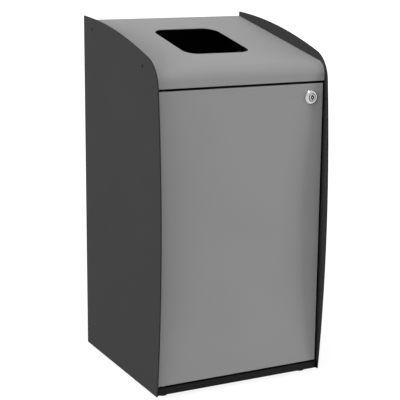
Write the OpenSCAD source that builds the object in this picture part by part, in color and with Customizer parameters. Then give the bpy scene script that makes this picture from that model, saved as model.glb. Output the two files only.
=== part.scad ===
// Floor-standing recycling station: sheet metal cabinet with a sloping lid, a waste opening,
// a locking door on concealed pivots, levelling feet and a lift-out inner bin.
// Millimetres. +Z up, the front faces -Y, origin on the floor under the middle of the cabinet.

/* [Cabinet] */
// Outer width over both side panels
cabinet_w = 400; // [360:1:460]
// Depth of a side panel along its foot
cabinet_d = 388; // [370:1:430]
// Height of a side panel at its rear edge
side_h = 770; // [720:1:840]
// Thickness of the side panel sheet
side_t = 3; // [2.8:0.1:4]
// Thickness of the folded sheet parts
sheet_t = 1.5; // [1:0.1:1.8]
// How far the door, lid lip and base front lie behind the foot of the side panels
front_setback = 6; // [2:0.5:10]

/* [Side panel outline] */
// How far the front edge bows ahead of its foot
front_bow = 18; // [14:0.5:24]
// Height of the foremost point of the bow above the panel's foot
bow_z = 342; // [310:1:370]
// Radius of the arched top edge
top_arc_r = 1340; // [1200:10:1500]
// Downward tilt of the top edge at its rear end, in degrees
top_tilt = 2.6; // [1.5:0.1:3.5]
// Radius of the shoulder between the top and front edges
shoulder_r = 66; // [56:1:76]

/* [Lid] */
// Slope of the lid, in degrees
lid_tilt = 11.2; // [10:0.1:12.4]
// Drop from the side panels' rear corner to the lid's rear edge
lid_drop = 10; // [6:0.5:14]
// Outer radius of the bullnose bend above the front lip
bullnose_r = 28; // [24:1:34]
// Height of the front lip below the corner that the bullnose rounds off
lip_h = 36; // [32:0.5:44]
// Height of the flanges along the lid's two sides
lid_flange_h = 18; // [16:0.5:24]
// Height of the flange along the lid's rear edge
lid_rear_flange_h = 22; // [14:1:30]

/* [Waste opening] */
// Width of the opening
opening_w = 157; // [130:1:200]
// Length of the opening down the slope
opening_l = 190; // [150:1:210]
// Radius of its corners
opening_r = 30; // [15:1:45]
// Distance down the slope from the lid's rear edge to the middle of the opening
opening_back = 189.6; // [175:0.1:200]

/* [Base, back and rail] */
// Height of the base pan
base_h = 15.5; // [13:0.5:22]
// Depth of the flanges along the back panel's two sides
back_flange = 20; // [16:1:24]
// How far the back panel stops below the lid's rear edge
back_drop = 2; // [1:0.5:6]
// How far the rail's stop flange hangs below the lid's lip
rail_drop = 20.5; // [18:0.5:21.5]
// Depth of the rail's end tabs
rail_tab = 27; // [22:1:32]
// Width of the relief in the stop flange, beside the swinging corner of the door
rail_relief = 30; // [26:1:40]

/* [Door] */
// Gap between the door and a side panel
door_gap_side = 3.5; // [2.6:0.1:4]
// Gap between the door and the lid's lip
door_gap_top = 5.2; // [3.5:0.1:6]
// Gap between the door and the base front
door_gap_bottom = 4.2; // [3.2:0.1:5]
// Depth of the door pan
door_depth = 16; // [14:0.5:18]
// Width of the flange returned round the back of the door pan
door_return = 12; // [8:0.5:13]
// Width of the door's stiffener
stiffener_w = 48; // [36:1:70]
// Width of the stiffener's raised crown
stiffener_crown = 22; // [14:1:30]
// Thickness of the stiffener's sheet
stiffener_t = 1.2; // [1:0.1:1.5]
// Distance from each end of the stiffener to the door's end
stiffener_end = 24; // [16:1:60]

/* [Hinge] */
// Distance of the pivot from the door's left edge
pivot_x_in = 11.5; // [11:0.5:14]
// Distance of the pivot behind the door's face
pivot_y_in = 7; // [6.5:0.1:7.5]
// Radius of the hinge pins
pin_r = 3; // [2.5:0.1:3.2]
// Wall of the hinge bushes
bush_wall = 1.4; // [1:0.1:1.6]
// Radius of the bushes' flanges and of the lower pin's collar
bush_flange_r = 6.2; // [5.4:0.1:6.5]
// Thickness of the bushes' flanges
bush_flange_t = 1.6; // [1.2:0.1:1.8]
// Length of a bush inside the door
bush_l = 8; // [5:0.5:10]
// How far a pin reaches into the door
pin_reach = 13; // [11:0.5:20]
// Radius of the pins' rivet heads
pin_head_r = 5; // [4.2:0.1:5.2]

/* [Lock] */
// Distance of the lock from the door's right edge
lock_edge = 28.2; // [27:0.1:40]
// Distance of the lock below the door's top
lock_drop = 29.4; // [29:0.1:40]
// Radius of the lock's rim
lock_rim_r = 15.5; // [13.8:0.1:18]
// How far the rim stands ahead of the door
lock_rim_h = 3.9; // [3.4:0.1:4.8]
// Radius of the rim's domed face, in section
lock_round_r = 7; // [6.6:0.1:8]
// Height of the straight skirt under the domed face
lock_skirt_h = 0.5; // [0.3:0.1:1]
// Radius of the lock's threaded barrel
barrel_r = 9.5; // [9.2:0.1:10]
// Distance over the barrel's two flats
barrel_flats = 16; // [15.5:0.1:17]
// Radius of the plug's head
plug_head_r = 7.5; // [7.2:0.1:7.8]
// How far the plug's head stands ahead of the rim
plug_proud = 1; // [0.4:0.1:1.4]
// Thickness of the plug's head
plug_head_t = 2.4; // [1.8:0.1:3]
// Width of the open ring between the plug's head and the rim
plug_ring_gap = 1.3; // [0.6:0.1:1.3]
// Radius of the plug's body
plug_r = 6.6; // [6.2:0.1:6.9]
// Outer radius of the ring-shaped keyway
keyway_r = 4.2; // [3.6:0.1:4.3]
// Depth of the keyway
keyway_depth = 7; // [5:0.5:9]
// How far the keyway's two notches reach beyond its ring
key_notch = 1.3; // [0.8:0.1:1.4]
// Width of the keyway's two notches
key_notch_w = 2; // [1.6:0.1:2.4]
// Radius of the keyway's centre post
key_post_r = 1.3; // [1:0.1:1.8]
// Length from the lock's axis to the cam's tip
cam_reach = 33; // [28:0.5:38]
// Width of the cam
cam_w = 16; // [14:0.5:17]
// Thickness of the cam
cam_t = 2.5; // [2:0.1:3]
// Distance over the flats of the lock nut
lock_nut_af = 25; // [24:0.5:26]

/* [Feet] */
// Height of the cabinet's underside above the floor
foot_h = 10; // [9:0.5:14]
// Distance of the feet from the outer faces of the side panels
foot_in_x = 29; // [27:0.5:34]
// Distance of the feet from the panels' foot and rear edge
foot_in_y = 34; // [28:0.5:44]
// Radius of a foot's pad
foot_r = 11; // [10:0.5:15]
// Radius of a foot's threaded stud
foot_stud_r = 3.95; // [3:0.05:4.5]
// How far a foot can be wound down
foot_travel = 8; // [4:0.5:8]
// Height of the weld nuts under the base
foot_nut_h = 8; // [7:0.5:9]

/* [Fasteners] */
// Distance of the rear lid screws from the lid's rear edge
lid_screw_rear = 47; // [40:1:60]
// Distance of the front lid screws behind the lid's front face
lid_screw_front = 64; // [50:1:80]
// Depth of the lid screws below the lid's surface
lid_screw_drop = 8; // [7.5:0.1:9]
// Radius of the countersunk screw heads
screw_head_r = 4; // [3.5:0.1:4.5]
// Radius of the lid screws' shanks
screw_r = 1.95; // [1.8:0.05:2.4]
// Length of the lid screws
screw_l = 11; // [10:0.5:14]
// Radius of the weld studs on the side panels
stud_r = 2.45; // [2:0.05:2.9]
// Length of the weld studs
stud_l = 9; // [8:0.5:12]
// Distance over the flats of the carcass nuts
nut_af = 8; // [7:0.5:9]
// Height of the carcass nuts
nut_h = 4; // [3:0.5:5]
// Radius of the door buffers
buffer_r = 6; // [5:0.5:7]

/* [Inner bin] */
// Room between the bin's rim and the side panels
bin_side_room = 31; // [29:1:45]
// Room between the door and the bin's rim
bin_front_room = 18.5; // [12:0.5:30]
// Room between the back panel and the bin's rim
bin_rear_room = 26; // [22:1:40]
// Room between the bin's rim and the stop flange above it
bin_top_room = 27.5; // [20:0.5:60]
// Width of the bin's rim
bin_rim = 11; // [8:0.5:14]
// Height of the rim's turned-down lip
bin_lip_h = 16; // [10:0.5:22]
// How much narrower the bin's foot is than its top, on each side
bin_taper = 14; // [8:0.5:20]
// Wall of the bin
bin_wall = 2.5; // [2:0.1:4]
// Thickness of the bin's floor
bin_floor_t = 3; // [2:0.1:5]
// Radius of the bin's corners at the top
bin_corner_r = 34; // [26:1:45]
// Width of the hand slots in the bin's two sides
grip_w = 96; // [80:1:120]
// Height of the hand slots
grip_h = 28; // [24:1:34]
// Distance of the hand slots below the bin's top
grip_drop = 52; // [46:1:70]
// Height of the guides that centre the bin under the opening
guide_h = 14; // [10:0.5:20]
// Width of the guides' feet
guide_foot = 20; // [16:0.5:24]
// Thickness of the guides
guide_t = 1.2; // [1:0.1:1.5]
// Room between the bin and its guides
guide_gap = 1.5; // [1:0.1:3]

/* [Hidden] */
// Running clearance of a pin, plug or stud in its hole
run = 0.05;
// Loose clearance of a bolt in its hole
loose = 0.2;
// Clearance of a flat face from a moving neighbour
face_gap = 0.1;
// Overlap that makes a cut pass clean through
eps = 1;
// Fineness of the long arcs and of ordinary round shapes
arc_fn = 720;
$fn = 64;

charcoal = "#3f3f40";
grey = "#8b8b8b";
black = "#1c1c1d";
nickel = "#c9c9c6";
zinc = "#a3a5a6";
black_nylon = "#202021";

half_w = cabinet_w / 2;
inner_x = half_w - side_t;
flange_x = inner_x - sheet_t;
total_d = cabinet_d + front_bow;
rear_y = total_d / 2;
toe_y = rear_y - cabinet_d;
front_y = toe_y + front_setback;
side_top_z = foot_h + side_h;
base_top_z = foot_h + base_h;
floor_z = base_top_z - sheet_t;

// Arcs of the side panel's outline, in its own plane of y and z
top_centre = [
  rear_y + top_arc_r * sin(top_tilt),
  side_top_z - top_arc_r * cos(top_tilt)
];
bow_r = (front_bow * front_bow + bow_z * bow_z) / (2 * front_bow);
bow_centre = [toe_y - front_bow + bow_r, foot_h + bow_z];
shoulder_centre = meeting(top_centre, top_arc_r - shoulder_r, bow_centre, bow_r - shoulder_r);

// Lid section, in the plane of y and z
lid_rear_y = rear_y - sheet_t;
lid_rear_z = side_top_z - lid_drop;
lid_corner_z = lid_z(front_y);
lip_z = lid_corner_z - lip_h;
bend_tangent = bullnose_r * tan((90 - lid_tilt) / 2);
bend_centre = [front_y + bullnose_r, lid_corner_z - bend_tangent];
lid_screw_ys = [front_y + lid_screw_front, lid_rear_y - lid_screw_rear];
lid_nut_h = 4;
lid_nut_r = 4;
lid_flange_in = 4;
screw_socket_af = 2.5;
screw_socket_depth = 1.6;

opening_y = lid_rear_y - opening_back * cos(lid_tilt);
opening_z = lid_z(opening_y);

door_left = -inner_x + door_gap_side;
door_right = inner_x - door_gap_side;
door_top = lip_z - door_gap_top;
door_bottom = base_top_z + door_gap_bottom;
door_rear = front_y + door_depth;
skin_y = front_y + sheet_t;
stiffener_room = 2;
stiffener_rear = door_rear - sheet_t - stiffener_room;

buffer_room = 5;
buffer_head_h = buffer_room - face_gap;
buffer_chamfer = 1.5;
buffer_stem_r = 2.5;
buffer_barb_r = 3.2;
buffer_barb_h = 4;
buffer_tip_r = 1.5;
buffer_x = 110;
buffer_z = door_top - sheet_t - buffer_r;
stop_y = door_rear + buffer_room;
stop_rear = stop_y + sheet_t;
stop_z = lip_z - rail_drop;
rail_z = lip_z + sheet_t;
rail_top = rail_z + sheet_t;

pivot_x = door_left + pivot_x_in;
pivot_y = front_y + pivot_y_in;
bush_r = pin_r + run + bush_wall;
collar_h = door_gap_bottom - bush_flange_t - face_gap;
pin_head_h = 2.5;

lock_x = door_right - lock_edge;
lock_z = door_top - lock_drop;
cam_gap = 0.5;
cam_in = stop_rear - front_y + cam_gap;
barrel_room = 0.3;
barrel_l = cam_in - barrel_room;
plug_face = lock_rim_h + plug_proud;
plug_base = plug_face - plug_head_t;
plug_chamfer = 0.4;
post_drop = 0.4;
lock_nut_h = 5;
tail = 8;
tail_l = cam_in + cam_t;
cam_boss = 1;
washer_r = 6.5;
washer_t = 1;
cam_screw_r = 2.45;
cam_screw_l = 9;
cam_screw_head_r = 4.5;
cam_screw_head_h = 3;
screw_hole_room = 2;
cross_l = 5.2;
cross_w = 1.1;
cross_depth = 1.5;

foot_xs = [-half_w + foot_in_x, half_w - foot_in_x];
foot_ys = [toe_y + foot_in_y, rear_y - foot_in_y];
foot_pad_h = 6.5;
foot_socket = 4;
foot_edge = 0.8;
foot_chamfer = 2;
foot_nut_z = floor_z - foot_nut_h;
foot_stud_proud = 4;
foot_stud_top = base_top_z + foot_stud_proud;
foot_hex_af = 13;

base_stud_in = 70;
base_stud_ys = spread(front_y + base_stud_in, lid_rear_y - base_stud_in, 3);
back_stud_y = lid_rear_y - back_flange / 2;
back_flange_room = 3;
back_flange_lift = 2;
back_bottom_z = base_top_z + back_flange_lift;
back_top_z = lid_rear_z - back_drop;
back_flange_top = lid_z(lid_rear_y - back_flange) - lid_flange_h - sheet_t - back_flange_room;
back_stud_in = 60;
back_stud_zs = spread(back_bottom_z + back_stud_in, back_flange_top - back_stud_in, 3);
rail_stud = [stop_rear + rail_tab / 2, (stop_z + rail_top) / 2];
stud_points = [
  for (y = base_stud_ys) [y, foot_h + base_h / 2],
  for (z = back_stud_zs) [back_stud_y, z],
  rail_stud
];

bin_w = 2 * (inner_x - bin_side_room);
bin_front_y = door_rear + bin_front_room;
bin_rear_y = lid_rear_y - bin_rear_room;
bin_l = bin_rear_y - bin_front_y;
bin_y = (bin_front_y + bin_rear_y) / 2;
bin_top_z = stop_z - bin_top_room;
body_w = bin_w - 2 * bin_rim;
body_l = bin_l - 2 * bin_rim;
foot_w = body_w - 2 * bin_taper;
foot_l = body_l - 2 * bin_taper;
foot_corner_r = bin_corner_r - 8;
slice = 0.01;
grip_z = bin_top_z - grip_drop;
guide_end = 25;
guide_x = foot_w / 2 + guide_gap;
guide_len = foot_l - 2 * guide_end;
stop_guide_end = 30;
stop_guide_y = bin_y + foot_l / 2 + guide_gap;
stop_guide_len = foot_w - 2 * stop_guide_end;
rivet_head_r = 3.4;
rivet_head_chamfer = 1;
rivet_r = 1.6;
rivet_bulge = 0.8;
rivet_head_h = 1.2;
rivet_in = 30;

// Height of the lid's upper surface at a given y, on its straight slope
function lid_z(y) = lid_rear_z - (lid_rear_y - y) * tan(lid_tilt);

// Meeting point, on the left of the line from c1 to c2, of two circles
function meeting(c1, r1, c2, r2) =
  let (
    d = norm(c2 - c1),
    along = (r1 * r1 - r2 * r2 + d * d) / (2 * d),
    out = sqrt(r1 * r1 - along * along),
    u = (c2 - c1) / d
  )
  c1 + along * u + out * [-u[1], u[0]];

function unit(v) = v / norm(v);

// Evenly spaced values from first to last
function spread(first, last, count) = [for (i = [0 : count - 1]) first + (last - first) * i / (count - 1)];

// Box between two opposite corners
module block(low, high) {
  translate(low) cube(high - low);
}

// Plate that starts at x and is cut to a 2D outline drawn in y and z
module side_plate(x, thickness) {
  translate([x, 0, 0]) rotate([90, 0, 90]) linear_extrude(height = thickness) children();
}

// Children at the front face of the lock's hole, their +Z pointing out of the door
module at_lock() {
  translate([lock_x, front_y, lock_z]) rotate([90, 0, 0]) children();
}

// Children at a point of the left panel's outer face, their +Z pointing into the cabinet
module from_left(x, point) {
  translate([x, point[0], point[1]]) rotate([0, 90, 0]) children();
}

module rounded_rect(w, l, r) {
  square([w - 2 * r, l], center = true);
  square([w, l - 2 * r], center = true);
  for (sx = [-1, 1], sy = [-1, 1]) translate([sx * (w / 2 - r), sy * (l / 2 - r)]) circle(r = r);
}

module hexagon(across_flats, h) {
  cylinder(r = across_flats / 2 / cos(30), h = h, $fn = 6);
}

// Side panels

module side_outline() {
  corner_cut = 3 * shoulder_r;
  to_top = unit(shoulder_centre - top_centre);
  to_front = unit(shoulder_centre - bow_centre);
  difference() {
    intersection() {
      translate(top_centre) circle(r = top_arc_r, $fn = arc_fn);
      translate(bow_centre) circle(r = bow_r, $fn = arc_fn);
      translate([toe_y - front_bow - eps, foot_h]) square([total_d + eps, side_h + eps]);
    }
    difference() {
      polygon([
        shoulder_centre,
        shoulder_centre + corner_cut * to_top,
        shoulder_centre + 2 * corner_cut * unit(to_top + to_front),
        shoulder_centre + corner_cut * to_front
      ]);
      translate(shoulder_centre) circle(r = shoulder_r, $fn = 128);
    }
  }
}

module countersunk(extra) {
  cylinder(r1 = screw_head_r + extra, r2 = screw_r + extra, h = screw_head_r - screw_r);
}

function lid_screw_points() = [for (y = lid_screw_ys) [y, lid_z(y) - lid_screw_drop]];

module side_panel() {
  difference() {
    side_plate(-half_w, side_t) side_outline();
    for (p = lid_screw_points()) from_left(-half_w, p) {
      countersunk(run);
      translate([0, 0, -eps]) cylinder(r = screw_r + run, h = side_t + 2 * eps);
    }
  }
}

module side_panel_left() {
  color(charcoal) side_panel();
}

module side_panel_right() {
  color(charcoal) mirror([1, 0, 0]) side_panel();
}

// Weld studs on the panels' inner faces, and the nuts on them

module both_sides() {
  children();
  mirror([1, 0, 0]) children();
}

module stud_holes() {
  both_sides() for (p = stud_points) from_left(-inner_x - eps, p)
    cylinder(r = stud_r + loose, h = sheet_t + 2 * eps);
}

module weld_studs() {
  color(zinc) both_sides() for (p = stud_points) from_left(-inner_x, p) cylinder(r = stud_r, h = stud_l);
}

module carcass_nuts() {
  color(zinc) both_sides() for (p = stud_points) from_left(-flange_x, p) difference() {
    hexagon(nut_af, nut_h);
    translate([0, 0, -eps]) cylinder(r = stud_r + run, h = nut_h + 2 * eps);
  }
}

// Base pan: a floor with a flange turned down on all four sides

module base_pan() {
  color(charcoal) difference() {
    block([-inner_x, front_y, foot_h], [inner_x, lid_rear_y, base_top_z]);
    block([-flange_x, skin_y, foot_h - eps], [flange_x, lid_rear_y - sheet_t, floor_z]);
    stud_holes();
    for (x = foot_xs, y = foot_ys) translate([x, y, floor_z - eps])
      cylinder(r = foot_stud_r + loose, h = sheet_t + 2 * eps);
    translate([pivot_x, pivot_y, floor_z - eps]) cylinder(r = pin_r + run, h = sheet_t + 2 * eps);
    at_rivets() translate([0, 0, -sheet_t - eps]) cylinder(r = rivet_r + run, h = sheet_t + 2 * eps);
  }
}

// Back panel: a plate behind everything, with a flange turned forward on each side

module back_panel() {
  color(charcoal) difference() {
    union() {
      block([-inner_x, lid_rear_y, foot_h], [inner_x, rear_y, back_top_z]);
      both_sides() block(
        [flange_x, lid_rear_y - back_flange, back_bottom_z],
        [inner_x, lid_rear_y, back_flange_top]
      );
    }
    stud_holes();
  }
}

// Front rail: a web on the lid's return flange, a stop flange behind the door, a tab at each end

module front_rail() {
  color(charcoal) difference() {
    union() {
      block([-inner_x, skin_y, rail_z], [inner_x, stop_rear, rail_top]);
      block([-inner_x + rail_relief, stop_y, stop_z], [inner_x, stop_rear, rail_z]);
      both_sides() block([flange_x, stop_rear, stop_z], [inner_x, stop_rear + rail_tab, rail_top]);
    }
    stud_holes();
    translate([pivot_x, pivot_y, rail_z - eps]) cylinder(r = pin_r + run, h = sheet_t + 2 * eps);
    for (x = [-buffer_x, buffer_x]) translate([x, stop_y - eps, buffer_z]) rotate([-90, 0, 0])
      cylinder(r = buffer_stem_r + run, h = sheet_t + 2 * eps);
  }
}

// Lid: one bent sheet

module lid_outline(inset) {
  up = [-sin(lid_tilt), cos(lid_tilt)];
  reach = 2 * bullnose_r;
  drop = inset / cos(lid_tilt);
  low = lip_z + inset;
  front = front_y + inset;
  rear = lid_rear_y - inset;
  difference() {
    polygon([[front, low], [rear, low], [rear, lid_z(rear) - drop], [front, lid_z(front) - drop]]);
    difference() {
      polygon([
        bend_centre,
        bend_centre + reach * up,
        bend_centre + reach * [-1, 1],
        bend_centre + reach * [-1, 0]
      ]);
      translate(bend_centre) circle(r = bullnose_r - inset, $fn = 128);
    }
  }
}

module lid_section() {
  difference() {
    lid_outline(0);
    lid_outline(sheet_t);
    translate([stop_y, lip_z - eps]) square([total_d, sheet_t + 2 * eps]);
    translate([lid_rear_y - sheet_t - eps, lip_z - eps])
      square([sheet_t + 2 * eps, lid_rear_z - lid_rear_flange_h - lip_z + eps]);
  }
}

module lid_side_flange_outline() {
  front = bend_centre[0] + lid_flange_in;
  rear = lid_rear_y - sheet_t;
  polygon([
    [front, lid_z(front) - sheet_t / 2],
    [rear, lid_z(rear) - sheet_t / 2],
    [rear, lid_z(rear) - lid_flange_h],
    [front, lid_z(front) - lid_flange_h]
  ]);
}

module lid() {
  color(grey) difference() {
    union() {
      side_plate(-inner_x, 2 * inner_x) lid_section();
      both_sides() side_plate(-inner_x, sheet_t) lid_side_flange_outline();
    }
    translate([0, opening_y, opening_z]) rotate([lid_tilt, 0, 0])
      linear_extrude(height = 10 * sheet_t, center = true) rounded_rect(opening_w, opening_l, opening_r);
    both_sides() for (p = lid_screw_points()) from_left(-inner_x - eps, p)
      cylinder(r = screw_r + run, h = sheet_t + 2 * eps);
    translate([pivot_x, pivot_y, lip_z - eps]) cylinder(r = pin_r + loose, h = sheet_t + 2 * eps);
  }
}

module lid_screws() {
  for (p = lid_screw_points()) from_left(-half_w, p) difference() {
    union() {
      countersunk(0);
      cylinder(r = screw_r, h = screw_l);
    }
    translate([0, 0, -eps]) hexagon(screw_socket_af, screw_socket_depth + eps);
  }
}

module lid_screws_left() {
  color(black) lid_screws();
}

module lid_screws_right() {
  color(black) mirror([1, 0, 0]) lid_screws();
}

module lid_clinch_nuts() {
  color(zinc) both_sides() for (p = lid_screw_points()) from_left(-flange_x, p) difference() {
    cylinder(r = lid_nut_r, h = lid_nut_h);
    translate([0, 0, -eps]) cylinder(r = screw_r + run, h = lid_nut_h + 2 * eps);
  }
}

// Door: a folded pan with returned flanges, open at the back

module door_panel() {
  window = sheet_t + door_return;
  color(grey) difference() {
    block([door_left, front_y, door_bottom], [door_right, door_rear, door_top]);
    block(
      [door_left + sheet_t, skin_y, door_bottom + sheet_t],
      [door_right - sheet_t, door_rear - sheet_t, door_top - sheet_t]
    );
    block(
      [door_left + window, skin_y, door_bottom + window],
      [door_right - window, door_rear + eps, door_top - window]
    );
    at_lock() translate([0, 0, -sheet_t - eps]) intersection() {
      cylinder(r = barrel_r + loose, h = sheet_t + 2 * eps);
      translate([0, 0, sheet_t / 2 + eps])
        cube([3 * barrel_r, barrel_flats + 2 * loose, sheet_t + 4 * eps], center = true);
    }
    for (z = [door_bottom, door_top - sheet_t]) translate([pivot_x, pivot_y, z - eps])
      cylinder(r = bush_r + run, h = sheet_t + 2 * eps);
  }
}

// Hat channel behind the door's skin: two flanges, two webs and a crown

module door_stiffener() {
  t = stiffener_t;
  web_x = stiffener_crown / 2 - t;
  color(zinc) translate([0, 0, door_bottom + stiffener_end])
    linear_extrude(height = door_top - door_bottom - 2 * stiffener_end) {
      for (side = [0, 1]) mirror([side, 0]) {
        translate([web_x, skin_y]) square([stiffener_w / 2 - web_x, t]);
        translate([web_x, skin_y]) square([t, stiffener_rear - skin_y]);
      }
      translate([-stiffener_crown / 2, stiffener_rear - t]) square([stiffener_crown, t]);
    }
}

// Hinge: a fixed pin above and below, each in a flanged bush in the door

module hinge_bush() {
  difference() {
    union() {
      translate([0, 0, -bush_flange_t]) cylinder(r = bush_flange_r, h = bush_flange_t);
      cylinder(r = bush_r, h = bush_l);
    }
    translate([0, 0, -bush_flange_t - eps])
      cylinder(r = pin_r + run, h = bush_l + bush_flange_t + 2 * eps);
  }
}

module hinge_bush_lower() {
  color(black_nylon) translate([pivot_x, pivot_y, door_bottom]) hinge_bush();
}

module hinge_bush_upper() {
  color(black_nylon) translate([pivot_x, pivot_y, door_top]) mirror([0, 0, 1]) hinge_bush();
}

module hinge_pin_lower() {
  color(black) translate([pivot_x, pivot_y, 0]) {
    translate([0, 0, floor_z - pin_head_h]) cylinder(r = pin_head_r, h = pin_head_h);
    translate([0, 0, floor_z]) cylinder(r = pin_r, h = sheet_t);
    translate([0, 0, base_top_z]) cylinder(r = bush_flange_r, h = collar_h);
    translate([0, 0, base_top_z]) cylinder(r = pin_r, h = door_gap_bottom + pin_reach);
  }
}

module hinge_pin_upper() {
  color(black) translate([pivot_x, pivot_y, 0]) {
    translate([0, 0, rail_top]) cylinder(r = pin_head_r, h = pin_head_h);
    translate([0, 0, door_top - pin_reach]) cylinder(r = pin_r, h = rail_top - door_top + pin_reach);
  }
}

// Rubber buffers that the door closes against

module door_buffers() {
  edge = buffer_head_h - buffer_chamfer;
  color(black) for (x = [-buffer_x, buffer_x]) translate([x, stop_y, buffer_z]) rotate([90, 0, 0]) {
    cylinder(r = buffer_r, h = edge);
    translate([0, 0, edge]) cylinder(r1 = buffer_r, r2 = buffer_r - buffer_chamfer, h = buffer_chamfer);
    translate([0, 0, -sheet_t]) cylinder(r = buffer_stem_r, h = sheet_t);
    translate([0, 0, -sheet_t - buffer_barb_h])
      cylinder(r1 = buffer_tip_r, r2 = buffer_barb_r, h = buffer_barb_h);
  }
}

// Lock, drawn about its own axis: +Z points out of the door, 0 is the door's face

// Rim whose face falls in an arc from its flat middle to the skirt at its edge
module lock_rim() {
  arc_z = lock_rim_h - lock_round_r;
  rise = lock_skirt_h - arc_z;
  flat_r = lock_rim_r - sqrt(lock_round_r * lock_round_r - rise * rise);
  rotate_extrude($fn = 96) {
    square([flat_r, lock_rim_h]);
    square([lock_rim_r, lock_skirt_h]);
    intersection() {
      translate([flat_r, arc_z]) circle(r = lock_round_r);
      translate([flat_r, 0]) square([lock_rim_r - flat_r, lock_rim_h]);
    }
  }
}

module lock_housing() {
  color(nickel) at_lock() difference() {
    union() {
      lock_rim();
      intersection() {
        translate([0, 0, -barrel_l]) cylinder(r = barrel_r, h = barrel_l + eps);
        translate([0, 0, -barrel_l / 2])
          cube([3 * barrel_r, barrel_flats, barrel_l + 2 * eps], center = true);
      }
    }
    translate([0, 0, -barrel_l - eps]) cylinder(r = plug_r + run, h = barrel_l + lock_rim_h + 2 * eps);
    translate([0, 0, plug_base - face_gap]) cylinder(r = plug_head_r + plug_ring_gap, h = lock_rim_h);
  }
}

// Ring with a notch above and below it, round a post that stops short of the plug's face
module keyway() {
  notch_l = 2 * (keyway_r + key_notch);
  difference() {
    union() {
      cylinder(r = keyway_r, h = keyway_depth + eps);
      translate([-key_notch_w / 2, -notch_l / 2, 0]) cube([key_notch_w, notch_l, keyway_depth + eps]);
    }
    translate([0, 0, -eps]) cylinder(r = key_post_r, h = keyway_depth + eps - post_drop);
  }
}

module lock_plug() {
  edge = plug_face - plug_chamfer;
  color(nickel) at_lock() difference() {
    union() {
      translate([0, 0, plug_base]) cylinder(r = plug_head_r, h = plug_head_t - plug_chamfer);
      translate([0, 0, edge])
        cylinder(r1 = plug_head_r, r2 = plug_head_r - plug_chamfer, h = plug_chamfer);
      translate([0, 0, -cam_in + face_gap]) cylinder(r = plug_r, h = cam_in - face_gap + plug_base);
      translate([0, 0, -tail_l / 2]) cube([tail, tail, tail_l], center = true);
    }
    translate([0, 0, plug_face - keyway_depth]) keyway();
    translate([0, 0, -tail_l - eps])
      cylinder(r = cam_screw_r + run, h = cam_screw_l + screw_hole_room + eps);
  }
}

module lock_nut() {
  color(zinc) at_lock() translate([0, 0, -sheet_t - lock_nut_h]) difference() {
    hexagon(lock_nut_af, lock_nut_h);
    translate([0, 0, -eps]) cylinder(r = barrel_r + run, h = lock_nut_h + 2 * eps);
  }
}

module lock_cam() {
  color(zinc) at_lock() translate([0, 0, -cam_in - cam_t]) difference() {
    union() {
      cylinder(r = cam_w / 2 + cam_boss, h = cam_t);
      translate([cam_w / 2 - cam_reach, -cam_w / 2, 0]) cube([cam_reach - cam_w / 2, cam_w, cam_t]);
      translate([cam_w / 2 - cam_reach, 0, 0]) cylinder(r = cam_w / 2, h = cam_t);
    }
    translate([0, 0, cam_t / 2])
      cube([tail + 2 * face_gap, tail + 2 * face_gap, cam_t + 2 * eps], center = true);
  }
}

module cam_washer() {
  color(zinc) at_lock() translate([0, 0, -cam_in - cam_t - washer_t]) difference() {
    cylinder(r = washer_r, h = washer_t);
    translate([0, 0, -eps]) cylinder(r = cam_screw_r + run, h = washer_t + 2 * eps);
  }
}

module cam_screw() {
  seat = cam_in + cam_t + washer_t;
  color(zinc) at_lock() difference() {
    union() {
      translate([0, 0, -seat - cam_screw_head_h]) cylinder(r = cam_screw_head_r, h = cam_screw_head_h);
      translate([0, 0, -seat]) cylinder(r = cam_screw_r, h = washer_t + cam_screw_l);
    }
    for (turn = [0, 90]) rotate([0, 0, turn]) translate([0, 0, -seat - cam_screw_head_h])
      cube([cross_l, cross_w, 2 * cross_depth], center = true);
  }
}

// Levelling feet

module foot_weld_nuts() {
  color(zinc) for (x = foot_xs, y = foot_ys) translate([x, y, foot_nut_z]) difference() {
    hexagon(foot_hex_af, foot_nut_h);
    translate([0, 0, -eps]) cylinder(r = foot_stud_r + run, h = foot_nut_h + 2 * eps);
  }
}

module foot_pad(x, y) {
  shoulder = foot_pad_h - foot_chamfer;
  color(black) translate([x, y, 0]) difference() {
    union() {
      cylinder(r1 = foot_r - foot_edge, r2 = foot_r, h = foot_edge);
      translate([0, 0, foot_edge]) cylinder(r = foot_r, h = shoulder - foot_edge);
      translate([0, 0, shoulder]) cylinder(r1 = foot_r, r2 = foot_r - foot_chamfer, h = foot_chamfer);
    }
    translate([0, 0, foot_pad_h - foot_socket]) cylinder(r = foot_stud_r + run, h = foot_socket + eps);
  }
}

module foot_stud(x, y) {
  color(zinc) translate([x, y, 0]) {
    translate([0, 0, foot_pad_h - foot_socket])
      cylinder(r = foot_stud_r, h = foot_stud_top - foot_pad_h + foot_socket);
    translate([0, 0, foot_pad_h]) hexagon(foot_hex_af, foot_nut_z - foot_pad_h);
  }
}

// Inner bin: a tapered moulded tub with a turned-down rim and two hand slots

module tub(low_w, low_l, low_r, high_w, high_l, high_r, low_z, high_z) {
  hull() {
    translate([0, 0, low_z]) linear_extrude(height = slice) rounded_rect(low_w, low_l, low_r, $fn = 32);
    translate([0, 0, high_z - slice]) linear_extrude(height = slice)
      rounded_rect(high_w, high_l, high_r, $fn = 32);
  }
}

module grip_slot() {
  r = grip_h / 2;
  rotate([0, 90, 0]) linear_extrude(height = cabinet_w, center = true) {
    square([grip_h, grip_w - grip_h], center = true);
    for (s = [-1, 1]) translate([0, s * (grip_w / 2 - r)]) circle(r = r);
  }
}

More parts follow.
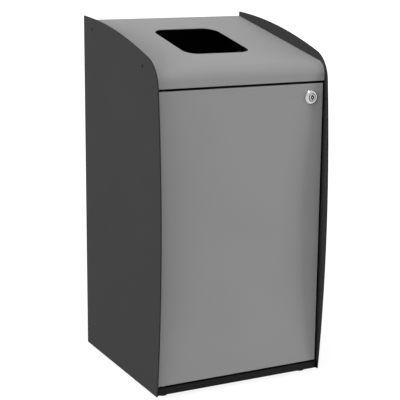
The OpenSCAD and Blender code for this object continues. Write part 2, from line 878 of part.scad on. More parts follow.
module inner_bin() {
  color(black) translate([0, bin_y, 0]) difference() {
    union() {
      tub(foot_w, foot_l, foot_corner_r, body_w, body_l, bin_corner_r, base_top_z, bin_top_z);
      translate([0, 0, bin_top_z - bin_wall]) linear_extrude(height = bin_wall)
        rounded_rect(bin_w, bin_l, bin_corner_r + bin_rim);
      translate([0, 0, bin_top_z - bin_lip_h]) linear_extrude(height = bin_lip_h) difference() {
        rounded_rect(bin_w, bin_l, bin_corner_r + bin_rim);
        rounded_rect(bin_w - 2 * bin_wall, bin_l - 2 * bin_wall, bin_corner_r + bin_rim - bin_wall);
      }
    }
    tub(
      foot_w - 2 * bin_wall, foot_l - 2 * bin_wall, foot_corner_r - bin_wall,
      body_w - 2 * bin_wall, body_l - 2 * bin_wall, bin_corner_r - bin_wall,
      base_top_z + bin_floor_t, bin_top_z + 2 * slice
    );
    translate([0, 0, grip_z]) grip_slot();
  }
}

// Guides that centre the bin, riveted to the base

function rivet_points() = [
  for (s = [-1, 1], t = [-1, 1])
    [s * (guide_x + guide_foot / 2), bin_y + t * (guide_len / 2 - rivet_in)],
  for (t = [-1, 1]) [t * (stop_guide_len / 2 - rivet_in), stop_guide_y + guide_foot / 2]
];

module at_rivets() {
  for (p = rivet_points()) translate([p[0], p[1], base_top_z]) children();
}

module rivet_holes() {
  at_rivets() translate([0, 0, -eps]) cylinder(r = rivet_r + run, h = guide_t + 2 * eps);
}

module bin_guide() {
  low_y = bin_y - guide_len / 2;
  high_y = bin_y + guide_len / 2;
  difference() {
    union() {
      block([guide_x, low_y, base_top_z], [guide_x + guide_t, high_y, base_top_z + guide_h]);
      block([guide_x, low_y, base_top_z], [guide_x + guide_foot, high_y, base_top_z + guide_t]);
    }
    rivet_holes();
  }
}

module bin_guide_left() {
  color(zinc) mirror([1, 0, 0]) bin_guide();
}

module bin_guide_right() {
  color(zinc) bin_guide();
}

module bin_stop_rear() {
  half = stop_guide_len / 2;
  y = stop_guide_y;
  color(zinc) difference() {
    union() {
      block([-half, y, base_top_z], [half, y + guide_t, base_top_z + guide_h]);
      block([-half, y, base_top_z], [half, y + guide_foot, base_top_z + guide_t]);
    }
    rivet_holes();
  }
}

module guide_rivets() {
  color(zinc) at_rivets() {
    translate([0, 0, guide_t])
      cylinder(r1 = rivet_head_r, r2 = rivet_head_r - rivet_head_chamfer, h = rivet_head_h);
    translate([0, 0, -sheet_t]) cylinder(r = rivet_r, h = sheet_t + guide_t);
    translate([0, 0, -sheet_t - rivet_head_h]) cylinder(r = rivet_r + rivet_bulge, h = rivet_head_h);
  }
}

side_panel_left();
side_panel_right();
back_panel();
base_pan();
front_rail();
lid();
lid_screws_left();
lid_screws_right();
lid_clinch_nuts();
weld_studs();
carcass_nuts();
door_panel();
door_stiffener();
hinge_bush_lower();
hinge_bush_upper();
hinge_pin_lower();
hinge_pin_upper();
door_buffers();
lock_housing();
lock_plug();
lock_nut();
lock_cam();
cam_washer();
cam_screw();
foot_weld_nuts();
foot_pad(foot_xs[0], foot_ys[0]);  // foot_pad_front_left
foot_pad(foot_xs[1], foot_ys[0]);  // foot_pad_front_right
foot_pad(foot_xs[0], foot_ys[1]);  // foot_pad_rear_left
foot_pad(foot_xs[1], foot_ys[1]);  // foot_pad_rear_right
foot_stud(foot_xs[0], foot_ys[0]);  // foot_stud_front_left
foot_stud(foot_xs[1], foot_ys[0]);  // foot_stud_front_right
foot_stud(foot_xs[0], foot_ys[1]);  // foot_stud_rear_left
foot_stud(foot_xs[1], foot_ys[1]);  // foot_stud_rear_right
inner_bin();
bin_guide_left();
bin_guide_right();
bin_stop_rear();
guide_rivets();
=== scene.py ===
"""Looks of a floor-standing recycling station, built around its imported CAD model.

The solids carry the shape. This script paints them, eases their cut edges, adds the threads, pins,
spot welds and beads that a close look finds, and lights the whole as for a plain product picture.
"""

import math
import bmesh
import bpy
from mathutils import Matrix, Vector


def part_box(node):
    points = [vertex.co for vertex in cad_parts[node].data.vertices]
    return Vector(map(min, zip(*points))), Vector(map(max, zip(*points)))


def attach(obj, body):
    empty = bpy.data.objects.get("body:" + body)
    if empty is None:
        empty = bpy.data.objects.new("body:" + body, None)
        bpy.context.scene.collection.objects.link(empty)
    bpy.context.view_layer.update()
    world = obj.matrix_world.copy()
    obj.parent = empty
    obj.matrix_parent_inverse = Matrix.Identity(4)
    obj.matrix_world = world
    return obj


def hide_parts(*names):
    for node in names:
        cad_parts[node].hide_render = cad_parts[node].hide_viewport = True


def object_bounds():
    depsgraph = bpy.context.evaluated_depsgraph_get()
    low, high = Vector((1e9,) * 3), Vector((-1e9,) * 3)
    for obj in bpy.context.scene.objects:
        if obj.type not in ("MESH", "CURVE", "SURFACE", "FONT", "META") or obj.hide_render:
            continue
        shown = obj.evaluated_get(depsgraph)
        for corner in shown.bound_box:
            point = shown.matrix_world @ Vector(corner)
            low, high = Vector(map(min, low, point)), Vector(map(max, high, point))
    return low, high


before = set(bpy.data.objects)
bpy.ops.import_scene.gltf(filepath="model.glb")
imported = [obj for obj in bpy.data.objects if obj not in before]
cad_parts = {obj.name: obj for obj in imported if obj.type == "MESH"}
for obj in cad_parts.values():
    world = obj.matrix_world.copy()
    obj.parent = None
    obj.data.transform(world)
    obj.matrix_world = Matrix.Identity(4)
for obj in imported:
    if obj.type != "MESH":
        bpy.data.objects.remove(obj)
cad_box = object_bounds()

MM = 0.001
WHITE = (1.0, 1.0, 1.0)
SIDES = ("left", "right")
CORNERS = ("front_left", "front_right", "rear_left", "rear_right")

# Camera, from the fit to the photograph
CAMERA_AT = (-1.1960, -2.3231, 0.9701)
CAMERA_YAW = 27.102
CAMERA_PITCH = 12.756
CAMERA_ROLL = 0.5155
FOCAL_PIXELS = 1194.7
FRAME_PIXELS = 400
SENSOR_MM = 36.0
NEAREST_SEEN = 0.05
FURTHEST_SEEN = 200.0

# Light levels: how bright each light makes white paper that faces it
DOME_LEVEL = 0.2
LAMPS = {
    "key": {"azimuth": -40.0, "elevation": 74.0, "width": 1.6, "level": 0.56},
    "left": {"azimuth": -74.0, "elevation": 12.0, "width": 2.6, "level": 0.36},
    "far_left": {"azimuth": -90.0, "elevation": 17.0, "width": 2.6, "level": 0.78},
    "right": {"azimuth": 68.0, "elevation": 3.0, "width": 2.4, "level": 0.68},
    "far_right": {"azimuth": 97.0, "elevation": 6.0, "width": 2.0, "level": 0.20},
    "rear": {"azimuth": 180.0, "elevation": 8.0, "width": 2.6, "level": 0.5},
}
LAMP_IN_GLOSS = "key"
LAMP_AWAY = 8.0

# Floor: matt white near the station, plain white further off
FLOOR_WHITE = 0.7
FLOOR_GLOW = 1.2
NEAR_SHARE = 0.75
NEAR_FLOOR = 0.9
FAR_FLOOR = 2.6
FLOOR_HALF = 40.0

# Paints, metals and plastics, as linear colours
SIDE_CHARCOAL = (0.0296, 0.0296, 0.03)
FRONT_GREY = (0.268, 0.268, 0.268)
BASE_BLACK = (0.009, 0.009, 0.0094)
BOLT_BLACK = (0.006, 0.006, 0.007)
NICKEL = (0.56, 0.555, 0.545)
PLUG_NICKEL = (0.43, 0.426, 0.42)
ZINC = (0.50, 0.51, 0.52)
NYLON_BLACK = (0.014, 0.014, 0.014)
RUBBER_BLACK = (0.010, 0.010, 0.010)
FOOT_BLACK = (0.009, 0.009, 0.009)
BIN_BLACK = (0.045, 0.045, 0.046)

# Painted shade in gaps: the widest gap that it darkens, how open the gap is where the shade is full
# and where it ends
PAINT_GAP_SHADE = {"reach": 12 * MM, "shut": 0.30, "open": 0.52}
DOOR_GAP_SHADE = {"reach": 20 * MM, "shut": 0.42, "open": 0.88}
METAL_GAP_SHADE = {"reach": 5 * MM, "shut": 0.45, "open": 0.9}

# Share of its own brightness that a paint or a metal keeps under full painted shade
PAINT_SHADE_KEEPS = 0.06
METAL_SHADE_KEEPS = 0.03

# How far past an edge the side panels' painted shade starts to change, and is changed
ABOVE_DOOR = (10 * MM, 40 * MM)
ABOVE_BASE = (-1 * MM, 1 * MM)
PAST_INNER_FACE = (0.4 * MM, 0.8 * MM)

# Meshes: points closer than this are one, and the angles between faces that count as flat or smooth
SAME_POINT = 0.002 * MM
FLAT_DEGREES = 0.5
SMOOTH_DEGREES = 35.0
EASED_DEGREES = 40.0

# Small parts whose sizes the frame's boxes don't give
SUNK = 0.03 * MM
NUT_THREAD = {"pitch": 0.8 * MM, "ridge": 0.2 * MM}
STUD_RADIUS = 2.45 * MM
SCREW_RADIUS = 1.95 * MM
BARREL = {"radius": 9.5 * MM, "flats": 7.98 * MM, "pitch": 1.0 * MM, "ridge": 0.25 * MM}
PIN = {"count": 8, "circle": 2.75 * MM, "radius": 0.7 * MM, "seat": 6.9 * MM, "length": 3.6 * MM}
TIP = {"radius": 1.55 * MM, "seat": 1.4 * MM, "length": 1.3 * MM}
WELD = {"spacing": 58 * MM, "from_end": 22 * MM, "flange": 6.5 * MM, "sheet": 1.2 * MM}
FOOT_STUD = {"core": 3.3 * MM, "crest": 3.95 * MM, "pitch": 1.25 * MM}
HEXAGON = {"radius": 7.5 * MM, "chamfer": 0.6 * MM, "sides": 6}
BIN = {"rim": 11 * MM, "taper": 14 * MM, "low_corner": 26 * MM, "high_corner": 34 * MM}
BEAD = {"proud": 1.7 * MM, "half_height": 3.6 * MM, "sunk": 0.6 * MM}
BEAD_HEIGHTS = (0.2, 0.45, 0.7)
BEAD_STEPS = 8

# Turned outlines, as shares of a part's radius and length, and the weld's crater in millimetres
PIN_OUTLINE = ((1.0, 0.0), (1.0, 0.93), (0.8, 0.98), (0.3, 1.0))
TIP_OUTLINE = ((1.0, 0.0), (1.0, 0.75), (0.85, 0.94), (0.4, 1.0))
CRATER_OUTLINE = ((2.9, -0.1), (2.9, 0.02), (2.55, 0.2), (2.1, 0.24), (1.7, 0.08), (0.4, 0.05))


class Value:
    """A shader socket that ordinary maths works on."""

    def __init__(self, finish, socket):
        self.finish = finish
        self.socket = socket

    def maths(self, operation, *terms):
        return self.finish.node("ShaderNodeMath", {"operation": operation}, dict(enumerate(terms)))

    def __add__(self, other):
        return self.maths("ADD", self, other)

    def __radd__(self, other):
        return self.maths("ADD", other, self)

    def __mul__(self, other):
        return self.maths("MULTIPLY", self, other)

    def __rmul__(self, other):
        return self.maths("MULTIPLY", other, self)

    def __abs__(self):
        return self.maths("ABSOLUTE", self)

    def at_least(self, other):
        return self.maths("MAXIMUM", self, other)


class Finish:
    """A material or a world, put together from nodes."""

    def __init__(self, owner):
        self.owner = owner
        owner.use_nodes = True
        self.tree = owner.node_tree
        self.tree.nodes.clear()

    def node(self, kind, settings=None, inputs=None, out=0):
        """A new node's output. Its settings are made first, then its inputs are set or linked."""
        made = self.tree.nodes.new(kind)
        for name, value in (settings or {}).items():
            if name == "stops":
                set_stops(made.color_ramp, value)
            else:
                setattr(made, name, value)
        for name, value in (inputs or {}).items():
            if isinstance(value, Value):
                self.tree.links.new(value.socket, made.inputs[name])
            else:
                made.inputs[name].default_value = value
        return Value(self, made.outputs[out])

    def here(self):
        """The place on the station, in metres."""
        return self.node("ShaderNodeTexCoord", out="Object")

    def along(self, axis):
        """How far the place lies along an axis."""
        return self.node("ShaderNodeSeparateXYZ", {}, {0: self.here()}, out=axis)

    def noise(self, scale, detail=2.0, roughness=0.5):
        spots = {"Vector": self.here(), "Scale": scale, "Detail": detail, "Roughness": roughness}
        return self.node("ShaderNodeTexNoise", {}, spots, out="Fac")

    def openness(self, painted_shade):
        """0 deep in a gap narrower than the painted shade's reach, 1 on open faces and outer edges.
        """
        reach = {"Distance": painted_shade["reach"]}
        sky = self.node("ShaderNodeAmbientOcclusion", {"samples": 8}, reach, out="AO")
        stops = ((painted_shade["shut"], 0.0), (painted_shade["open"], 1.0))
        return self.node("ShaderNodeValToRGB", {"stops": stops}, {"Fac": sky})

    def past(self, level, edge, change):
        """0 until the change past an edge starts, 1 from where it ends."""
        start, end = change
        spread = {"Value": level, "From Min": edge + start, "From Max": edge + end}
        return self.node("ShaderNodeMapRange", {}, spread)

    def between(self, low, high, amount):
        """Colour that runs from low to high."""
        mixed = {"Factor": amount, "A": opaque(low), "B": opaque(high)}
        return self.node("ShaderNodeMix", {"data_type": "RGBA"}, mixed, out="Result")

    def shades(self, colour, amount, darkest, lightest):
        """Shades of one colour, from its darkest to its lightest."""
        return self.between(shade(colour, darkest), shade(colour, lightest), amount)

    def relief(self, height, depth, strength):
        """Normal of a surface with that relief, its full depth in metres."""
        bump = {"Height": height, "Distance": depth, "Strength": strength}
        return self.node("ShaderNodeBump", {}, bump, out="Normal")

    def skin(self, **sockets):
        """The finished material, from the shader's sockets by name."""
        named = {name.replace("_", " "): value for name, value in sockets.items()}
        shader = self.node("ShaderNodeBsdfPrincipled", {}, named)
        self.end_with("ShaderNodeOutputMaterial", shader)
        return self.owner

    def end_with(self, kind, shader):
        end = self.tree.nodes.new(kind)
        self.tree.links.new(shader.socket, end.inputs["Surface"])


def opaque(colour):
    if isinstance(colour, Value):
        return colour
    return (*colour, 1.0)


def shade(colour, factor):
    return tuple(channel * factor for channel in colour)


def set_stops(ramp, stops):
    while len(ramp.elements) < len(stops):
        ramp.elements.new(1.0)
    for element, (position, level) in zip(ramp.elements, stops):
        element.position = position
        element.color = (level, level, level, 1.0)


def finish_named(name):
    return Finish(bpy.data.materials.new(name))


# Finishes


def powder_coat(name, colour, roughness, gloss, beside=None):
    """Baked powder paint: fine grain over a soft orange peel, faint cloudiness, and painted shade
    in its gaps.

    The paint that stands beside the door and the base is given their levels, for its painted shade
    there.
    """
    paint = finish_named(name)
    grain = paint.noise(scale=1500.0)
    peel = paint.noise(scale=240.0, detail=3.0)
    cloud = paint.noise(scale=7.0, detail=3.0)
    coat = paint.shades(colour, 0.75 * cloud + 0.25 * grain, darkest=0.93, lightest=1.07)
    # Painted shade: the paint darkens in gaps and tight corners, by how much of its surroundings
    # each point sees.
    unshaded = paint.openness(PAINT_GAP_SHADE)
    if beside is not None:
        unshaded = unshaded * unshaded_beside(paint, beside)
    return paint.skin(
        Base_Color=paint.between(shade(colour, PAINT_SHADE_KEEPS), coat, unshaded),
        Roughness=roughness - 0.05 + 0.1 * grain,
        Specular_IOR_Level=gloss,
        Normal=paint.relief(0.6 * grain + 0.4 * peel, depth=0.06 * MM, strength=0.6),
    )


def unshaded_beside(paint, beside):
    """0 where a side panel gets its darkest painted shade: in the slit along the door, and near
    black on its inner face beside the base.
    """
    height = paint.along("Z")
    sideways = abs(paint.along("X"))
    above_door = paint.past(height, beside["door_top"], ABOVE_DOOR)
    above_base = paint.past(height, beside["base_top"], ABOVE_BASE)
    outward = paint.past(sideways, beside["inner_face"], PAST_INNER_FACE)
    off_door = above_door.at_least(paint.openness(DOOR_GAP_SHADE))
    return off_door * above_base.at_least(outward)


def bright_nickel(name, colour, roughness):
    """Turned and plated metal, with fine rings about the axis of the lock, and painted shade in its
    keyway and grooves.
    """
    metal = finish_named(name)
    centring = {0: metal.here(), 1: LOCK_AXIS}
    centred = metal.node("ShaderNodeVectorMath", {"operation": "SUBTRACT"}, centring, out="Vector")
    rings = metal.node(
        "ShaderNodeTexWave",
        {"wave_type": "RINGS", "rings_direction": "Y"},
        {"Vector": centred, "Scale": 900.0, "Distortion": 1.2, "Detail": 2.0, "Detail Scale": 3.0},
        out="Fac",
    )
    haze = metal.noise(scale=320.0, detail=3.0)
    plate = metal.shades(colour, haze, darkest=0.9, lightest=1.05)
    return metal.skin(
        # Painted shade: the metal darkens in the keyway, the ring groove and other narrow recesses.
        Base_Color=metal.between(shade(colour, METAL_SHADE_KEEPS), plate, metal.openness(METAL_GAP_SHADE)),
        Metallic=1.0,
        Roughness=roughness - 0.04 + 0.12 * haze,
        Normal=metal.relief(rings, depth=0.02 * MM, strength=0.35),
    )


def zinc_plate(name, colour):
    """Dull zinc plating with the soft patches that it dries in."""
    metal = finish_named(name)
    patches = metal.node(
        "ShaderNodeTexVoronoi",
        {"feature": "F1"},
        {"Vector": metal.here(), "Scale": 160.0, "Randomness": 1.0},
        out="Distance",
    )
    drag = metal.noise(scale=700.0, detail=3.0)
    tone = 0.6 * patches + 0.4 * drag
    return metal.skin(
        Base_Color=metal.shades(colour, tone, darkest=0.78, lightest=1.12),
        Metallic=0.92,
        Roughness=0.34 + 0.22 * tone,
        Normal=metal.relief(drag, depth=0.04 * MM, strength=0.4),
    )


def black_oxide(name, colour):
    """Blackened steel of the socket screws."""
    metal = finish_named(name)
    blush = metal.noise(scale=900.0, detail=3.0)
    return metal.skin(
        Base_Color=metal.shades(colour, blush, darkest=0.6, lightest=1.8),
        Roughness=0.42 + 0.15 * blush,
        Specular_IOR_Level=0.02,
        Normal=metal.relief(blush, depth=0.03 * MM, strength=0.4),
    )


def moulded_plastic(name, colour, roughness, grain, gloss):
    """Moulded plastic with a spark-eroded grain and a little handling haze."""
    plastic = finish_named(name)
    pits = plastic.node(
        "ShaderNodeTexVoronoi",
        {"feature": "SMOOTH_F1"},
        {"Vector": plastic.here(), "Scale": grain, "Smoothness": 0.6},
        out="Distance",
    )
    haze = plastic.noise(scale=14.0, detail=4.0, roughness=0.6)
    return plastic.skin(
        Base_Color=plastic.shades(colour, haze, darkest=0.8, lightest=1.3),
        Roughness=roughness - 0.06 + 0.12 * haze,
        Specular_IOR_Level=gloss,
        Normal=plastic.relief(pits, depth=0.1 * MM, strength=0.5),
    )


def soft_rubber(name, colour):
    """Matt rubber with a chalky bloom."""
    rubber = finish_named(name)
    bloom = rubber.noise(scale=420.0, detail=4.0, roughness=0.6)
    return rubber.skin(
        Base_Color=rubber.shades(colour, bloom, darkest=0.7, lightest=2.2),
        Roughness=0.72 + 0.15 * bloom,
        Specular_IOR_Level=0.3,
        Normal=rubber.relief(bloom, depth=0.06 * MM, strength=0.5),
    )


# Shapes


def mesh_piece(name, body, material, draw):
    """A piece drawn into a bmesh, in the frame's own metres, that rides on a body."""
    sketch = bmesh.new()
    draw(sketch)
    bmesh.ops.recalc_face_normals(sketch, faces=sketch.faces)
    smooth = math.radians(SMOOTH_DEGREES)
    for edge in sketch.edges:
        edge.smooth = len(edge.link_faces) == 2 and edge.calc_face_angle(0.0) < smooth
    for face in sketch.faces:
        face.smooth = True
    piece = placed(name, sketch, material)
    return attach(piece, body)


def placed(name, sketch, material):
    """The object that a bmesh makes, in the scene."""
    mesh = bpy.data.meshes.new(name)
    sketch.to_mesh(mesh)
    sketch.free()
    mesh.materials.append(material)
    made = bpy.data.objects.new(name, mesh)
    bpy.context.scene.collection.objects.link(made)
    return made


def join_rings(sketch, rings, close=True):
    """Faces between rings of the same count of corners, and a cap on each end."""
    count = len(rings[0])
    for low, high in zip(rings, rings[1:]):
        for step in range(count):
            ahead = (step + 1) % count
            sketch.faces.new((low[step], low[ahead], high[ahead], high[step]))
    if close:
        sketch.faces.new(list(reversed(rings[0])))
        sketch.faces.new(rings[-1])


def turned(sketch, place, profile, steps=32):
    """A turned shape: the profile's (radius, height) pairs, spun about the place's own Z."""
    rings = []
    for radius, height in profile:
        ring = []
        for step in range(steps):
            angle = 2.0 * math.pi * step / steps
            spot = Vector((radius * math.cos(angle), radius * math.sin(angle), height))
            ring.append(sketch.verts.new(place @ spot))
        rings.append(ring)
    join_rings(sketch, rings)


def sized(outline, radius, length):
    """A turned profile in metres, from its shares of a radius and a length."""
    return [(out * radius, up * length) for out, up in outline]


def threaded(sketch, place, root, crest, pitch, length, flats=None, steps=24):
    """A screw thread about the place's own Z, its two sides cut to flats if it has them."""
    per_turn = 6
    rings = []
    for level in range(int(length / pitch * per_turn) + 1):
        height = min(level * pitch / per_turn, length)
        fade = min(1.0, height / pitch, (length - height) / pitch)
        ring = []
        for step in range(steps):
            angle = 2.0 * math.pi * step / steps
            phase = (height / pitch - step / steps) % 1.0
            ridge = 1.0 - abs(2.0 * phase - 1.0)
            radius = root + (crest - root) * ridge * max(fade, 0.0)
            across = radius * math.sin(angle)
            if flats is not None:
                across = max(-flats, min(flats, across))
            spot = Vector((radius * math.cos(angle), across, height))
            ring.append(sketch.verts.new(place @ spot))
        rings.append(ring)
    join_rings(sketch, rings)


def aimed(point, direction):
    """Placement at a point with its own Z along a direction."""
    turn = Vector(direction).to_track_quat("Z", "Y").to_matrix().to_4x4()
    return Matrix.Translation(Vector(point)) @ turn


def middle_of(corners):
    return (corners[0] + corners[1]) / 2


def inner_end(corners):
    """The x of the end that lies nearer the middle of the cabinet."""
    return min((corner.x for corner in corners), key=abs)


def solids_of(node_name):
    """Lowest and highest corner of each separate solid in a node."""
    sketch = bmesh.new()
    sketch.from_mesh(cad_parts[node_name].data)
    bmesh.ops.remove_doubles(sketch, verts=sketch.verts, dist=SAME_POINT)
    found = []
    met = set()
    for first in sketch.verts:
        if first in met:
            continue
        met.add(first)
        island = [first]
        for spot in island:
            for edge in spot.link_edges:
                beyond = edge.other_vert(spot)
                if beyond not in met:
                    met.add(beyond)
                    island.append(beyond)
        spread = [[spot.co[axis] for spot in island] for axis in range(3)]
        found.append((Vector(map(min, spread)), Vector(map(max, spread))))
    sketch.free()
    return found


def rounded_loop(half_x, half_y, radius, per_corner=8):
    """Corners of a rounded rectangle, anticlockwise, as (x, y) pairs."""
    loop = []
    for turn, (sx, sy) in enumerate(((1, 1), (-1, 1), (-1, -1), (1, -1))):
        for step in range(per_corner + 1):
            angle = math.radians(90.0) * (turn + step / per_corner)
            x = sx * (half_x - radius) + radius * math.cos(angle)
            y = sy * (half_y - radius) + radius * math.sin(angle)
            loop.append((x, y))
    return loop


def ease_edges(node, width):
    """Small rounding of a solid's cut edges, which catches the light as paint over an edge does."""
    weld = node.modifiers.new("weld", "WELD")
    weld.merge_threshold = SAME_POINT
    flats = node.modifiers.new("flats", "DECIMATE")
    flats.decimate_type = "DISSOLVE"
    flats.angle_limit = math.radians(FLAT_DEGREES)
    bevel = node.modifiers.new("ease", "BEVEL")
    bevel.width = width
    bevel.segments = 2
    bevel.limit_method = "ANGLE"
    bevel.angle_limit = math.radians(EASED_DEGREES)
    node.modifiers.new("level", "WEIGHTED_NORMAL")


# Camera, light and floor


def set_camera():
    yaw, pitch, roll = (math.radians(a) for a in (CAMERA_YAW, CAMERA_PITCH, CAMERA_ROLL))
    forward, down = math.cos(pitch), math.sin(pitch)
    ahead = Vector((math.sin(yaw) * forward, math.cos(yaw) * forward, -down))
    level = Vector((math.cos(yaw), -math.sin(yaw), 0.0))
    upright = level.cross(ahead)
    right = math.cos(roll) * level + math.sin(roll) * upright
    top = -math.sin(roll) * level + math.cos(roll) * upright
    facing = Matrix((right, top, -ahead)).transposed().to_4x4()
    lens = bpy.data.cameras.new("camera")
    lens.sensor_width = SENSOR_MM
    lens.lens = FOCAL_PIXELS / FRAME_PIXELS * SENSOR_MM
    lens.clip_start = NEAREST_SEEN
    lens.clip_end = FURTHEST_SEEN
    camera = bpy.data.objects.new("camera", lens)
    bpy.context.scene.collection.objects.link(camera)
    camera.matrix_world = Matrix.Translation(Vector(CAMERA_AT)) @ facing
    bpy.context.scene.camera = camera


def seen_direct(finish):
    """1 for rays that should meet plain white: from the camera, or by way of gloss or glass."""
    kinds = ("Is Camera Ray", "Is Glossy Ray", "Is Transmission Ray")
    camera, glossy, through = (finish.node("ShaderNodeLightPath", out=kind) for kind in kinds)
    return camera + glossy + through


def soft_dome():
    """Dim, even light from all round, behind which the camera sees white."""
    dome = Finish(bpy.data.worlds.new("dome"))
    bpy.context.scene.world = dome.owner
    light, white = (
        dome.node("ShaderNodeBackground", {}, {"Color": opaque(WHITE), "Strength": strength})
        for strength in (DOME_LEVEL, 1.0)
    )
    both = dome.node("ShaderNodeMixShader", {}, {0: seen_direct(dome), 1: light, 2: white})
    dome.end_with("ShaderNodeOutputWorld", both)


def lamp(name, azimuth, elevation, width, level):
    """Square soft box, far off and turned to the station, at degrees round from its front and up.

    The camera never sees it, and only one shows in gloss.
    """
    light = bpy.data.lights.new(name, "AREA")
    light.shape = "SQUARE"
    light.size = width
    light.energy = level * (math.pi * LAMP_AWAY) ** 2
    holder = bpy.data.objects.new(name, light)
    bpy.context.scene.collection.objects.link(holder)
    around, up = math.radians(azimuth), math.radians(elevation)
    level_part = math.cos(up)
    outward = Vector((math.sin(around) * level_part, -math.cos(around) * level_part, math.sin(up)))
    middle = middle_of([Vector(corner) for corner in cad_box])
    holder.matrix_world = aimed(middle + LAMP_AWAY * outward, outward)
    holder.visible_camera = False
    holder.visible_glossy = name == LAMP_IN_GLOSS


def lay_floor():
    """White floor that keeps a soft shadow under the station."""
    paint = finish_named("floor_white")
    matt = paint.node("ShaderNodeBsdfDiffuse", {}, {"Color": opaque(shade(WHITE, FLOOR_WHITE))})
    glow = {"Color": opaque(WHITE), "Strength": FLOOR_GLOW}
    white = paint.node("ShaderNodeEmission", {}, glow)
    spot = {0: paint.here()}
    away = paint.node("ShaderNodeVectorMath", {"operation": "LENGTH"}, spot, out="Value")
    reach = {"Value": away, "From Min": NEAR_FLOOR, "From Max": FAR_FLOOR, "To Min": NEAR_SHARE}
    share = paint.node("ShaderNodeMapRange", {}, reach) * seen_direct(paint)
    mixed = paint.node("ShaderNodeMixShader", {}, {0: share, 1: matt, 2: white})
    paint.end_with("ShaderNodeOutputMaterial", mixed)
    sketch = bmesh.new()
    bmesh.ops.create_grid(sketch, x_segments=1, y_segments=1, size=FLOOR_HALF)
    placed("floor", sketch, paint.owner)


# Painting of the solids

lock_low, lock_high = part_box("lock_housing")
LOCK_AXIS = ((lock_low.x + lock_high.x) / 2, 0.0, (lock_low.z + lock_high.z) / 2)

# Levels that bound the side panels' painted shade: the door's top, the base's top and their inner
# face
NEAR_SIDES = {
    "door_top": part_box("door_panel")[1].z,
    "base_top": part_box("base_pan")[1].z,
    "inner_face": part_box("side_panel_right")[0].x,
}

side_paint = powder_coat("side_paint", SIDE_CHARCOAL, roughness=0.6, gloss=0.01, beside=NEAR_SIDES)
front_paint = powder_coat("front_paint", FRONT_GREY, roughness=0.55, gloss=0.2)
base_paint = powder_coat("base_paint", BASE_BLACK, roughness=0.6, gloss=0.1)
screw_black = black_oxide("screw_black", BOLT_BLACK)
zinc = zinc_plate("zinc", ZINC)
lock_nickel = bright_nickel("lock_nickel", NICKEL, roughness=0.2)
plug_nickel = bright_nickel("plug_nickel", PLUG_NICKEL, roughness=0.28)
bush_nylon = moulded_plastic("bush_nylon", NYLON_BLACK, roughness=0.45, grain=1200.0, gloss=0.5)
buffer_rubber = soft_rubber("buffer_rubber", RUBBER_BLACK)
foot_plastic = moulded_plastic("foot_plastic", FOOT_BLACK, roughness=0.55, grain=900.0, gloss=0.4)
bin_plastic = moulded_plastic("bin_plastic", BIN_BLACK, roughness=0.5, grain=700.0, gloss=0.4)

# Each node's finish, and how wide its cut edges are eased, in millimetres
PAINTED = {
    "back_panel": (side_paint, 0.3),
    "base_pan": (base_paint, 0.3),
    "front_rail": (side_paint, 0.3),
    "lid": (front_paint, 0.3),
    "lid_clinch_nuts": (zinc, 0.3),
    "weld_studs": (zinc, 0.3),
    "carcass_nuts": (zinc, 0.35),
    "door_panel": (front_paint, 0.4),
    "door_stiffener": (zinc, 0.3),
    "hinge_bush_lower": (bush_nylon, 0.3),
    "hinge_bush_upper": (bush_nylon, 0.3),
    "hinge_pin_lower": (screw_black, 0.4),
    "hinge_pin_upper": (screw_black, 0.6),
    "door_buffers": (buffer_rubber, 0.3),
    "lock_housing": (lock_nickel, 0.25),
    "lock_plug": (plug_nickel, 0.15),
    "lock_nut": (zinc, 0.5),
    "lock_cam": (zinc, 0.3),
    "cam_washer": (zinc, 0.2),
    "cam_screw": (zinc, 0.4),
    "foot_weld_nuts": (zinc, 0.5),
    "inner_bin": (bin_plastic, 0.6),
    "bin_stop_rear": (zinc, 0.3),
    "guide_rivets": (zinc, 0.3),
}
for side in SIDES:
    PAINTED["side_panel_" + side] = (side_paint, 0.5)
    PAINTED["lid_screws_" + side] = (screw_black, 0.15)
    PAINTED["bin_guide_" + side] = (zinc, 0.3)
for corner in CORNERS:
    PAINTED["foot_pad_" + corner] = (foot_plastic, 0.4)
    PAINTED["foot_stud_" + corner] = (zinc, 0.4)


def paint_solids():
    for name, (material, edge_mm) in PAINTED.items():
        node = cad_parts[name]
        node.data.materials.clear()
        node.data.materials.append(material)
        ease_edges(node, edge_mm * MM)


# Pieces that the solids leave out


def threads_past_nuts(bolts, nuts, radius):
    """Draws the thread of each bolt from its nut's inner face to the bolt's own end."""

    def draw(sketch):
        seats = solids_of(nuts)
        for bolt in solids_of(bolts):
            axis = middle_of(bolt)
            nut = min(seats, key=lambda seat: (middle_of(seat) - axis).length)
            start, end = inner_end(nut), inner_end(bolt)
            place = aimed((start, axis.y, axis.z), (end - start, 0.0, 0.0))
            crest = radius + NUT_THREAD["ridge"]
            threaded(sketch, place, radius - SUNK, crest, NUT_THREAD["pitch"], abs(end - start))

    return draw


def barrel_thread(sketch):
    """Thread along the lock's barrel, from the nut to its end, with its two flats left bare."""
    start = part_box("lock_nut")[1].y
    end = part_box("lock_housing")[1].y
    place = aimed((LOCK_AXIS[0], start, LOCK_AXIS[2]), (0.0, 1.0, 0.0))
    core, crest = BARREL["radius"] - SUNK, BARREL["radius"] + BARREL["ridge"]
    threaded(sketch, place, core, crest, BARREL["pitch"], end - start, BARREL["flats"], steps=48)


def in_plug(depth):
    """Placement on the plug's axis, that deep below its face, with its own Z outwards."""
    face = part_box("lock_plug")[0].y
    return aimed((LOCK_AXIS[0], face + depth, LOCK_AXIS[2]), (0.0, -1.0, 0.0))


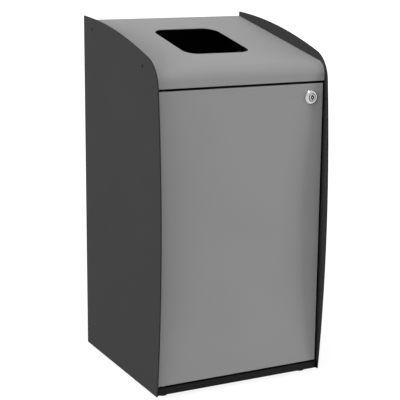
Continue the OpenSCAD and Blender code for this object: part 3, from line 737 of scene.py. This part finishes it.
def lock_pins(sketch):
    """Ring of sprung pins that stand in the keyway, well below the plug's face."""
    place = in_plug(PIN["seat"])
    profile = sized(PIN_OUTLINE, PIN["radius"], PIN["length"])
    for count in range(PIN["count"]):
        angle = 2.0 * math.pi * (count + 0.5) / PIN["count"]
        x, y = PIN["circle"] * math.cos(angle), PIN["circle"] * math.sin(angle)
        turned(sketch, place @ Matrix.Translation((x, y, 0.0)), profile, steps=16)


def post_tip(sketch):
    """Turned, domed tip on the keyway's centre post, nearly flush with the plug's face."""
    turned(sketch, in_plug(TIP["seat"]), sized(TIP_OUTLINE, TIP["radius"], TIP["length"]))


def door_spot_welds(sketch):
    """Shallow craters down both flanges of the door's stiffener, where it is welded to the skin."""
    low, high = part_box("door_stiffener")
    across = high.x - WELD["flange"]
    first, last = low.z + WELD["from_end"], high.z - WELD["from_end"]
    gaps = round((last - first) / WELD["spacing"])
    profile = sized(CRATER_OUTLINE, MM, MM)
    for side in (-1, 1):
        for count in range(gaps + 1):
            height = first + (last - first) * count / gaps
            place = aimed((side * across, low.y + WELD["sheet"], height), (0.0, 1.0, 0.0))
            turned(sketch, place, profile, steps=24)


def foot_stud(corner):
    """Draws one foot's stud: shank in the pad, hexagon for the spanner, and the thread above."""

    def draw(sketch):
        low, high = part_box("foot_stud_" + corner)
        axis = middle_of((low, high))
        upright = Matrix.Translation((axis.x, axis.y, 0.0))
        hexagon_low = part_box("foot_pad_" + corner)[1].z
        hexagon_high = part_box("foot_weld_nuts")[0].z
        core, crest = FOOT_STUD["core"], FOOT_STUD["crest"]
        radius, chamfer = HEXAGON["radius"], HEXAGON["chamfer"]
        turned(sketch, upright, ((crest, low.z), (crest, hexagon_low + chamfer)))
        spanner = (
            (radius - chamfer, hexagon_low),
            (radius, hexagon_low + chamfer),
            (radius, hexagon_high - chamfer),
            (radius - chamfer, hexagon_high),
        )
        turned(sketch, upright, spanner, HEXAGON["sides"])
        start = hexagon_high - chamfer
        place = Matrix.Translation((axis.x, axis.y, start))
        threaded(sketch, place, core, crest, FOOT_STUD["pitch"], high.z - start)

    return draw


def bin_beads(sketch):
    """Half-round stiffening beads moulded round the tapered bin."""
    low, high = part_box("inner_bin")
    axis = middle_of((low, high))
    curve = [math.pi * (step / BEAD_STEPS - 0.5) for step in range(BEAD_STEPS + 1)]
    profile = [(BEAD["proud"] * math.cos(a), BEAD["half_height"] * math.sin(a)) for a in curve]
    profile = [(-BEAD["sunk"], profile[0][1]), *profile, (-BEAD["sunk"], profile[-1][1])]
    for share in BEAD_HEIGHTS:
        inset = BIN["rim"] + BIN["taper"] * (1.0 - share)
        corner = BIN["low_corner"] + (BIN["high_corner"] - BIN["low_corner"]) * share
        height = low.z + (high.z - low.z) * share
        rings = []
        for out, up in profile:
            half_x, half_y = high.x - axis.x - inset + out, high.y - axis.y - inset + out
            loop = rounded_loop(half_x, half_y, corner + out)
            level = height + up
            rings.append([sketch.verts.new((axis.x + x, axis.y + y, level)) for x, y in loop])
        join_rings(sketch, rings + rings[:1], close=False)


def add_details():
    studs = threads_past_nuts("weld_studs", "carcass_nuts", STUD_RADIUS)
    mesh_piece("stud_threads", "cabinet", zinc, studs)
    for side in SIDES:
        screws = threads_past_nuts("lid_screws_" + side, "lid_clinch_nuts", SCREW_RADIUS)
        mesh_piece("lid_screw_threads_" + side, "cabinet", screw_black, screws)
    mesh_piece("barrel_thread", "door", lock_nickel, barrel_thread)
    mesh_piece("lock_pins", "lock", lock_nickel, lock_pins)
    mesh_piece("keyway_post_tip", "lock", lock_nickel, post_tip)
    mesh_piece("door_spot_welds", "door", zinc, door_spot_welds)
    mesh_piece("bin_beads", "bin", bin_plastic, bin_beads)
    for corner in CORNERS:
        name, body = "threaded_stud_" + corner, "foot_" + corner
        stud = mesh_piece(name, body, zinc, foot_stud(corner))
        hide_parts("foot_stud_" + corner)


set_camera()
soft_dome()
lay_floor()
for name, setting in LAMPS.items():
    lamp(name, **setting)
paint_solids()
add_details()

bpy.context.scene.view_settings.view_transform = "Standard"
